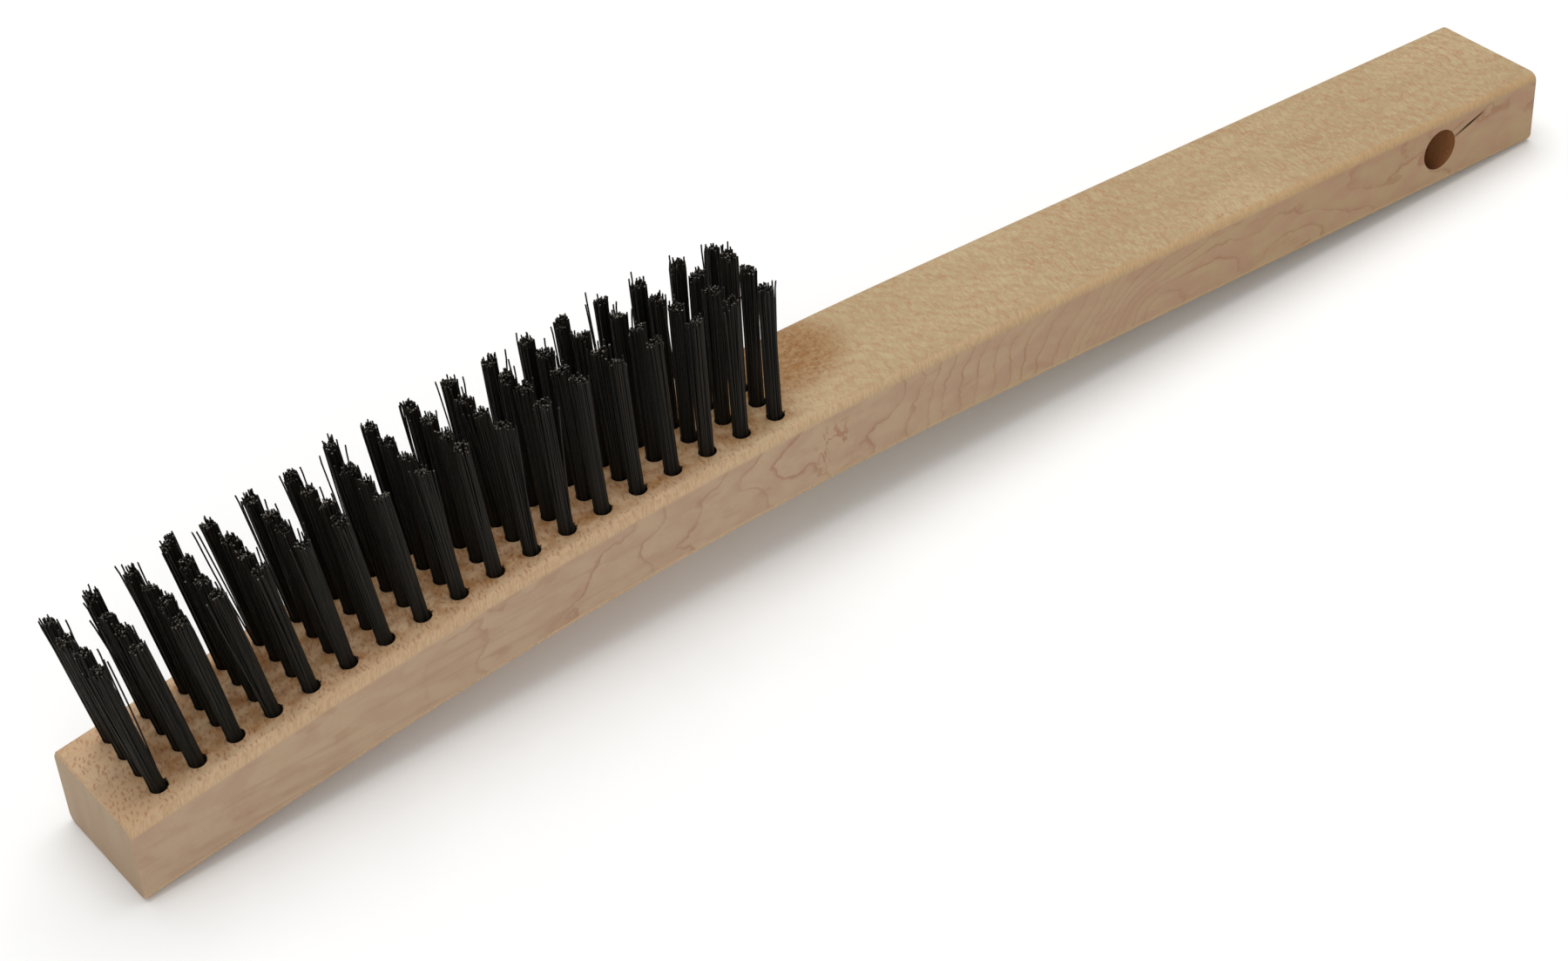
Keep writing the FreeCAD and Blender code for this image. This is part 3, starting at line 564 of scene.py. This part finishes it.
def add_hang_hole(wood, at, colour, fibre):
    """The hanging hole's wall, browned by the drill, with painted shade on its head side and painted light on
    its handle side; and the drying crack beside it, with painted shade in and along it.
    """
    beside = wood.minus(at.along, HANG_HOLE_X)
    above = wood.minus(at.height, HANG_HOLE_HEIGHT)
    squared = wood.squares(beside, above)
    near_wall = wood.fall(squared, (HANG_HOLE_RADIUS + 0.01) ** 2, (HANG_HOLE_RADIUS + 0.15) ** 2)
    in_shaded_hole = wood.product(near_wall, wood.fall(at.sideways, 0.3, 0.8))
    # painted light and shade: the wall is dark on the head side and lighter on the handle side, as light
    # falls into the hole
    burnt_and_shaded = wood.mix(wood.rise(beside, *HANG_HOLE_SHADE_FADES), srgb(74, 36, 17), srgb(158, 106, 65))
    burnt_and_shaded = wood.mix(wood.product(wood.rise(fibre, 0.4, 0.65), 0.4), burnt_and_shaded, srgb(100, 58, 32))
    colour = wood.mix(in_shaded_hole, colour, burnt_and_shaded)

    # painted shade along the cracks, on the flat front
    for stain in (OPEN_CRACK_SHADE, CLOSED_CRACK_SHADE):
        line = crack_line(wood, beside, above, stain)
        amount = wood.product(line, at.flat_on_front, stain["amount"])
        colour = wood.mix(amount, colour, srgb(108, 74, 48))

    # painted shade inside the drying crack
    round_crack = round_spot(wood, at.along, at.height, CRACK, CRACK_SIZE)
    in_shaded_crack = wood.product(wood.math_node("GREATER_THAN", round_crack, 0.02),
                            wood.math_node("LESS_THAN", at.sideways, 0.6),
                            wood.math_node("LESS_THAN", at.across, CRACK_BOTTOM),
                            wood.math_node("GREATER_THAN", squared, (HANG_HOLE_RADIUS + 0.05) ** 2))
    return wood.mix(in_shaded_crack, colour, srgb(52, 32, 20))


def add_tuft_hole_shade(wood, at, colour):
    """The tuft holes' walls, painted dark as the shade inside the holes."""
    # painted shade: the walls inside the tuft holes are darkened to the colour of their shade
    in_shaded_hole = wood.product(wood.math_node("LESS_THAN", wood.absolute(at.across), HOLES_SIDE),
                           wood.math_node("LESS_THAN", at.along, HOLES_END),
                           wood.math_node("GREATER_THAN", at.along, HOLES_START),
                           wood.math_node("LESS_THAN", at.upright, 0.6))
    return wood.mix(in_shaded_hole, colour, srgb(46, 34, 25))


def wood_material():
    """Bare sanded maple: flecks on the quarter-sawn face and back, contour lines on the sides."""
    wood = NodeMaterial("maple")
    at = block_surface(wood)
    fibre = wood.noise(at.place, (0.3, 6.0, 6.0), 3.0, 0.6)
    colour = plain_wood(wood, at)
    colour = add_rings(wood, at, colour)
    colour = add_head_streaks(wood, at, colour)
    colour = add_branch_mark(wood, at, colour)
    colour = add_stains(wood, at, colour)
    colour, flecks = add_flecks(wood, at, colour)
    colour = add_rubbed_edges(wood, at, colour)
    colour = wood.mix(wood.product(wood.rise(fibre, 0.5, 0.75), 0.1), colour, srgb(140, 110, 84))
    # painted shade and oil between the tufts
    colour = add_oil_and_shade(wood, at, colour)
    colour = add_scorch(wood, at, colour, flecks)
    colour = add_sawn_ends(wood, at, colour)
    # the hanging hole's wall and the drying crack, with painted light and shade
    colour = add_hang_hole(wood, at, colour, fibre)
    # painted shade inside the tuft holes
    colour = add_tuft_hole_shade(wood, at, colour)
    wood.shader.inputs["Specular IOR Level"].default_value = 0.2
    relief = wood.product(wood.total(fibre, flecks), 0.5)
    return wood.finish(colour, fibre, (0.55, 0.72), relief, strength=0.35, distance=0.2 * MM)


# ---------------------------------------------------------------- other materials

def dark_wood_material():
    """Very dark wood, for the chips at the mouths of the tuft holes."""
    wood = NodeMaterial("dark_maple")
    fibre = wood.noise(wood.place, (900.0, 7000.0, 7000.0))
    colour = wood.mix(wood.rise(fibre, 0.35, 0.65), srgb(30, 23, 18), srgb(62, 44, 30))
    return wood.finish(colour, fibre, (0.6, 0.75), fibre, strength=0.3, distance=0.05 * MM)


def wire_material():
    """Black oil-tempered wire: very dark, each wire its own shade, satin sheen."""
    wire = NodeMaterial("black_wire")
    own_shade = wire.noise(wire.place, (2600.0, 2600.0, 25.0), 1.0)
    patches = wire.noise(wire.place, (900.0, 900.0, 900.0), 3.0, 0.6)
    marks = wire.noise(wire.place, (9000.0, 9000.0, 700.0))
    colour = wire.mix(wire.rise(own_shade, 0.4, 0.68), srgb(8, 11, 9), srgb(29, 22, 15))
    colour = wire.mix(wire.product(wire.rise(patches, 0.5, 0.75), 0.3), colour, srgb(37, 28, 20))
    wire.shader.inputs["Metallic"].default_value = 0.2
    wire.shader.inputs["Specular IOR Level"].default_value = 0.27
    wire.shader.inputs["Specular Tint"].default_value = (1.0, 0.94, 0.87, 1.0)
    return wire.finish(colour, patches, (0.46, 0.68), marks, strength=0.2, distance=0.02 * MM)


def cut_material():
    """The sheared ends of the wires: bare grey steel."""
    steel = NodeMaterial("cut_steel")
    speck = steel.noise(steel.place, (2500.0, 2500.0, 2500.0))
    colour = steel.mix(steel.rise(speck, 0.4, 0.6), srgb(32, 30, 27), srgb(86, 81, 73))
    steel.tree.links.new(colour, steel.shader.inputs["Base Color"])
    steel.shader.inputs["Metallic"].default_value = 0.8
    steel.shader.inputs["Roughness"].default_value = 0.4
    return steel.material


def staple_material():
    """Bright drawn wire with faint draw marks."""
    steel = NodeMaterial("drawn_steel")
    marks = steel.noise(steel.place, (6000.0, 900.0, 900.0))
    steel.shader.inputs["Metallic"].default_value = 1.0
    return steel.finish(steel.mix(marks, srgb(120, 118, 114), srgb(176, 174, 170)), marks, (0.25, 0.42))


def floor_material():
    """Plain pale studio floor."""
    floor = NodeMaterial("studio_floor")
    faint = floor.noise(floor.place, (40.0, 40.0, 40.0))
    colour = floor.mix(faint, srgb(236, 236, 235), srgb(240, 240, 239))
    floor.tree.links.new(colour, floor.shader.inputs["Base Color"])
    floor.shader.inputs["Roughness"].default_value = 0.9
    return floor.material


# ---------------------------------------------------------------- tufts of folded wires

def tufts_of(name):
    """Top middle, direction and length of each tuft in a row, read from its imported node."""
    mesh = frame["nodes"][name].data
    low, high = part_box(name)
    middle_height = (low.z + high.z) / 2
    caps = [face for face in mesh.polygons
            if face.center.z > middle_height and face.normal.z > FACING_UP]
    axis = sum((face.normal * face.area for face in caps), Vector()).normalized()
    places = sorted((vertex.co for vertex in mesh.vertices), key=lambda place: place.y)
    islands = [[places[0]]]
    for place, following in zip(places, places[1:]):
        if following.y - place.y > TUFT_GAP:
            islands.append([])
        islands[-1].append(following)
    tufts = []
    for island in islands:
        levels = [place.dot(axis) for place in island]
        rim = [place for place, level in zip(island, levels) if level > max(levels) - RIM_DEPTH]
        middle = [(min(values) + max(values)) / 2 for values in zip(*rim)]
        tufts.append((Vector(middle), axis, max(levels) - min(levels)))
    return tufts


def tuft_frame(top, axis, length):
    """Rotation and origin of a tuft: X along the block, Z up its axis, from the hole's bottom."""
    along = Vector((0, 1, 0)).cross(axis).normalized()
    spin = Matrix((along, axis.cross(along), axis)).transposed()
    return np.array(spin), np.array(top - axis * length)


def bundle_places():
    """Places of the wires on one side of the fold, packed like round sticks in a half circle."""
    places = []
    row_gap = WIRE_PITCH * math.sqrt(3) / 2
    row = 0
    along = WIRE_PITCH / 2
    while along < BUNDLE_ROOM:
        half = math.sqrt(BUNDLE_ROOM ** 2 - along ** 2)
        shift = WIRE_PITCH / 2 if row % 2 else 0.0
        count = int((half + shift) / WIRE_PITCH)
        for step in range(-count - 1, count + 2):
            across = step * WIRE_PITCH + shift
            if abs(across) <= half:
                places.append((along, across))
        row += 1
        along += row_gap
    return places


def draw_tuft(rng, row_lean, length):
    """How one tuft differs from its neighbours: its lean, its trim, the slope of its cut."""
    lean = np.array([row_lean, 0.0]) + rng.normal(0, TUFT_LEAN_SPREAD, 2)
    return {"length": length,
            "lean": lean * BRISTLE_TRIM,
            "trim": rng.normal(0, TUFT_TRIM_SPREAD),
            "slope": rng.normal(0, TUFT_CUT_SLOPE_SPREAD, 2),
            "splay": rng.uniform(LEAST_SPLAY, MOST_SPLAY)}


def fold_points(along, across, shoulder):
    """The hidden end of a wire, which passes round the staple's crown inside the hole."""
    depth = along / BUNDLE_ROOM
    least = CROWN_RADIUS + WIRE_CLEARANCE * WIRE_RADIUS
    most = HOLE_RADIUS - WIRE_CLEARANCE * WIRE_RADIUS
    half_width = least + (most - least) * depth
    drop = least + (CROWN_HEIGHT - WIRE_RADIUS - least) * depth
    squeezed = across / BUNDLE_RADIUS * FOLD_HALF_WIDTH
    half = [[(along + half_width) / 2, (across + squeezed) / 2, (shoulder + CROWN_HEIGHT) / 2]]
    for angle in FOLD_ANGLES:
        half.append([half_width * math.cos(angle), squeezed, CROWN_HEIGHT - drop * math.sin(angle)])
    other_half = [[-point[0], point[1], point[2]] for point in reversed(half)]
    return np.array([*half, [0.0, squeezed, CROWN_HEIGHT - drop], *other_half])


def leg_points(rng, foot, shoulder, tuft):
    """One side of a folded wire, from its shoulder in the hole up to its tip."""
    top = tuft["length"] + tuft["trim"] + foot @ tuft["slope"] + rng.normal(0, WIRE_TRIM_SPREAD)
    lean = foot * tuft["splay"] + rng.normal(0, WIRE_LEAN_SPREAD, 2)
    bow = rng.normal(0, WIRE_BOW_SPREAD, 2)
    if rng.random() < STRAY_SHARE:
        lean = (foot / BUNDLE_ROOM * rng.uniform(*STRAY_LEAN) + rng.normal(0, STRAY_LEAN_SPREAD, 2)) * MM
        bow = lean * rng.uniform(*STRAY_BOW)
        top += rng.uniform(*STRAY_TRIM) * MM
    tip_bend = rng.normal(0, TIP_BEND_SPREAD, 2)

    mouth = tuft["length"] - BRISTLE_TRIM
    points = []
    for level in WIRE_LEVELS:
        height = shoulder + (top - shoulder) * level
        free = max(0.0, (height - mouth) / BRISTLE_TRIM)
        rise = min(1.0, (height - shoulder) / (mouth - shoulder))
        sway = lean * free ** SWAY_POWER + bow * math.sin(math.pi * min(free, 1.0)) + tuft["lean"] * free
        points.append([foot[0] + sway[0] + FOOT_SHIFT * rise, foot[1] + sway[1], height])
    points[-1][0] += tip_bend[0]
    points[-1][1] += tip_bend[1]
    return np.array(points)


def wire_path(rng, along, across, tuft):
    """Points of one folded wire: tip, down one side, under the staple, up the other side, tip.

    The points are in the tuft's own frame: X along the block, Y across it, Z up from the
    bottom of the hole.
    """
    shoulder = CROWN_HEIGHT + SHOULDER_HEIGHT + SHOULDER_RISE * along / BUNDLE_ROOM
    first = leg_points(rng, np.array([along, across]), shoulder, tuft)
    second = leg_points(rng, np.array([-along, across]), shoulder, tuft)
    return np.concatenate([first[::-1], fold_points(along, across, shoulder), second])


def tube(points, rng):
    """Vertices, side faces and sheared end faces of a round wire along points."""
    forward = np.gradient(points, axis=0)
    forward /= np.linalg.norm(forward, axis=1)[:, None]
    across = np.array([0.0, 1.0, 0.0]) - forward * forward[:, 1:2]
    across /= np.linalg.norm(across, axis=1)[:, None]
    outward = np.cross(across, forward)
    angles = np.arange(WIRE_SIDES) * 2 * math.pi / WIRE_SIDES
    ring = WIRE_RADIUS * (np.cos(angles)[None, :, None] * outward[:, None, :]
                          + np.sin(angles)[None, :, None] * across[:, None, :])
    vertices = points[:, None, :] + ring
    for end in (0, -1):
        slope = rng.uniform(0.0, MOST_SHEAR)
        turn = rng.uniform(0, 2 * math.pi)
        shear = WIRE_RADIUS * slope * np.cos(angles - turn)
        vertices[end] += shear[:, None] * forward[end][None, :]
    faces = []
    for level in range(len(points) - 1):
        low = level * WIRE_SIDES
        high = low + WIRE_SIDES
        for side in range(WIRE_SIDES):
            following = (side + 1) % WIRE_SIDES
            faces.append((low + side, high + side, high + following, low + following))
    last = (len(points) - 1) * WIRE_SIDES
    caps = [tuple(range(WIRE_SIDES)), tuple(last + side for side in reversed(range(WIRE_SIDES)))]
    return vertices.reshape(-1, 3), faces, caps


def make_tuft_row(name, rng, row_lean, wire, cut):
    """One row of four tufts as a single mesh of separate folded wires."""
    vertices, faces, caps = [], [], []
    offset = 0
    for top, axis, length in tufts_of(name):
        spin, origin = tuft_frame(top, axis, length)
        tuft = draw_tuft(rng, row_lean, length)
        for along, across in bundle_places():
            jitter = rng.normal(0, WIRE_PLACE_SPREAD, 2)
            points, sides, ends = tube(wire_path(rng, along + jitter[0], across + jitter[1], tuft), rng)
            vertices.append(points @ spin.T + origin)
            faces += [tuple(corner + offset for corner in face) for face in sides]
            caps += [tuple(corner + offset for corner in face) for face in ends]
            offset += len(points)
    mesh = bpy.data.meshes.new(name.replace("row", "wires"))
    mesh.from_pydata(np.concatenate(vertices), [], faces + caps)
    mesh.materials.append(wire)
    mesh.materials.append(cut)
    material_index = np.zeros(len(faces) + len(caps), np.int32)
    material_index[len(faces):] = 1
    mesh.polygons.foreach_set("material_index", material_index)
    mesh.shade_smooth()
    mesh.set_sharp_from_angle(angle=SHARP_ANGLE)
    piece = add_object(mesh)
    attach(piece, "root")
    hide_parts(name)


def make_tufts():
    """All rows of wires, splayed a little from one end of the head to the other."""
    rng = np.random.default_rng(SEED)
    wire = wire_material()
    cut = cut_material()
    for name, row_lean in zip(ROWS, np.linspace(FIRST_ROW_LEAN, LAST_ROW_LEAN, len(ROWS))):
        make_tuft_row(name, rng, row_lean, wire, cut)


# ---------------------------------------------------------------- torn wood round the tuft holes

def add_fibre(rng, vertices, faces, centre, along, across, up):
    """One torn fibre at a hole's rim: a thin pyramid that points along the grain over the hole."""
    angle = rng.uniform(-FIBRE_SWING, FIBRE_SWING)
    if rng.random() >= FIBRES_TO_HANDLE:
        angle += math.pi
    inward = -1.0 if math.cos(angle) > 0 else 1.0
    rim = centre + HOLE_RADIUS * (math.cos(angle) * along + math.sin(angle) * across)
    root = rim - inward * rng.uniform(*FIBRE_ROOT) * MM * along
    tip = rim + inward * rng.uniform(*FIBRE_REACH) * MM * along + rng.normal(0, FIBRE_SKEW) * MM * across
    width = rng.uniform(*FIBRE_HALF_WIDTH) * MM
    ridge = (root + tip) / 2 + rng.uniform(*FIBRE_RIDGE) * MM * up
    tip = tip + rng.uniform(*FIBRE_LIFT) * MM * up
    sunk = root - FIBRE_SINK * MM * up
    first = len(vertices)
    vertices += [sunk + width * across, sunk - width * across, ridge, tip]
    faces += [(first, first + 1, first + 2), (first, first + 2, first + 3),
              (first + 1, first + 3, first + 2), (first, first + 3, first + 1)]


def add_chip(rng, vertices, faces, centre, along, across, up):
    """One very dark chip lifted at the handle side of a hole, where the drill left it standing."""
    angle = rng.uniform(*CHIP_SWING)
    rim = centre + (HOLE_RADIUS - 0.05 * MM) * (math.cos(angle) * along + math.sin(angle) * across)
    width = rng.uniform(*CHIP_HALF_WIDTH) * MM
    root = rim - 0.2 * MM * along - 0.1 * MM * up
    tip = rim + rng.uniform(*CHIP_REACH) * MM * along + rng.uniform(*CHIP_LIFT) * MM * up
    ridge = (rim + tip) / 2 + 0.12 * MM * up - 0.1 * MM * along
    under = (rim + tip) / 2 - 0.06 * MM * up
    first = len(vertices)
    vertices += [root + width * across, root - width * across, ridge + width * 0.7 * across,
                 ridge - width * 0.6 * across, under, tip]
    faces += [(first, first + 2, first + 3, first + 1), (first + 2, first + 5, first + 3),
              (first, first + 4, first + 2), (first + 1, first + 3, first + 4), (first, first + 1, first + 4),
              (first + 2, first + 4, first + 5), (first + 3, first + 5, first + 4)]


def make_hole_fibres(wood, black):
    """Torn fibres that stand round the drilled tuft holes, and very dark chips."""
    rng = np.random.default_rng(SEED + 1)
    vertices, faces, black_faces = [], [], []
    for name in ROWS:
        for top, axis, length in tufts_of(name):
            spin, _ = tuft_frame(top, axis, length)
            along, across, up = spin.T
            centre = np.array(top) - up * BRISTLE_TRIM
            for _ in range(FIBRES_PER_HOLE):
                add_fibre(rng, vertices, faces, centre, along, across, up)
            pale_faces = len(faces)
            for _ in range(rng.integers(1, MOST_CHIPS_PER_HOLE + 1)):
                add_chip(rng, vertices, faces, centre, along, across, up)
            black_faces += range(pale_faces, len(faces))
    mesh = bpy.data.meshes.new("hole_fibres")
    mesh.from_pydata([tuple(vertex) for vertex in vertices], [], faces)
    mesh.materials.append(wood)
    mesh.materials.append(black)
    for index in black_faces:
        mesh.polygons[index].material_index = 1
    piece = add_object(mesh)
    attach(piece, "root")


# ---------------------------------------------------------------- objects, stage, lights and camera

def add_object(data):
    """An object in the scene for a mesh, a light or a camera, with the same name."""
    made = bpy.data.objects.new(data.name, data)
    bpy.context.scene.collection.objects.link(made)
    return made


def set_material(name, material):
    """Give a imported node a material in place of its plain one."""
    mesh = frame["nodes"][name].data
    mesh.materials.clear()
    mesh.materials.append(material)


def make_stage():
    """A pale floor under the brush."""
    half = FLOOR_HALF_WIDTH
    corners = [(-half, -half, 0), (half, -half, 0), (half, half, 0), (-half, half, 0)]
    mesh = bpy.data.meshes.new("floor")
    mesh.from_pydata(corners, [], [(0, 1, 2, 3)])
    mesh.materials.append(floor_material())
    floor = add_object(mesh)
    floor.location.z = -FLOOR_DROP


def add_area_light(name, place, size, power):
    """A square soft light that looks at the frame's origin, under the brush's middle."""
    data = bpy.data.lights.new(name, "AREA")
    data.shape = "SQUARE"
    data.size = size
    data.energy = power
    light = add_object(data)
    light.location = place
    light.rotation_euler = (-Vector(place)).to_track_quat("-Z", "Y").to_euler()


def make_lights():
    """Soft light from above, a broad fill from the front, and a pale surround."""
    add_area_light("overhead", place=(0.15, 0.25, 1.3), size=1.2, power=14.0)
    add_area_light("front_fill", place=(-0.7, -1.2, 0.7), size=0.9, power=5.5)
    world = bpy.data.worlds.new("surround")
    bpy.context.scene.world = world
    world.use_nodes = True
    background = world.node_tree.nodes["Background"]
    background.inputs["Color"].default_value = (1.0, 1.0, 1.0, 1.0)
    background.inputs["Strength"].default_value = SURROUND_STRENGTH


def make_camera():
    """The photographer's place, height, tilt of the camera and lens."""
    flat = math.cos(CAMERA_ELEVATION)
    forward = Vector((-math.sin(CAMERA_AZIMUTH) * flat, math.cos(CAMERA_AZIMUTH) * flat,
                      -math.sin(CAMERA_ELEVATION)))
    level_right = forward.cross(Vector((0, 0, 1))).normalized()
    level_up = level_right.cross(forward)
    right = math.cos(CAMERA_ROLL) * level_right + math.sin(CAMERA_ROLL) * level_up
    up = math.cos(CAMERA_ROLL) * level_up - math.sin(CAMERA_ROLL) * level_right
    data = bpy.data.cameras.new("camera")
    data.sensor_width = CAMERA_SENSOR
    data.lens = CAMERA_LENS
    camera = add_object(data)
    spin = Matrix((right, up, -forward)).transposed().to_4x4()
    camera.matrix_world = Matrix.Translation(CAMERA_AIM - forward * CAMERA_DISTANCE) @ spin
    bpy.context.scene.camera = camera


# ---------------------------------------------------------------- the whole scene

maple = wood_material()
set_material("handle_block", maple)
make_hole_fibres(maple, dark_wood_material())
drawn_steel = staple_material()
for staple in STAPLES:
    set_material(staple, drawn_steel)
make_tufts()
make_stage()
make_lights()
make_camera()
bpy.context.scene.view_settings.view_transform = "Standard"
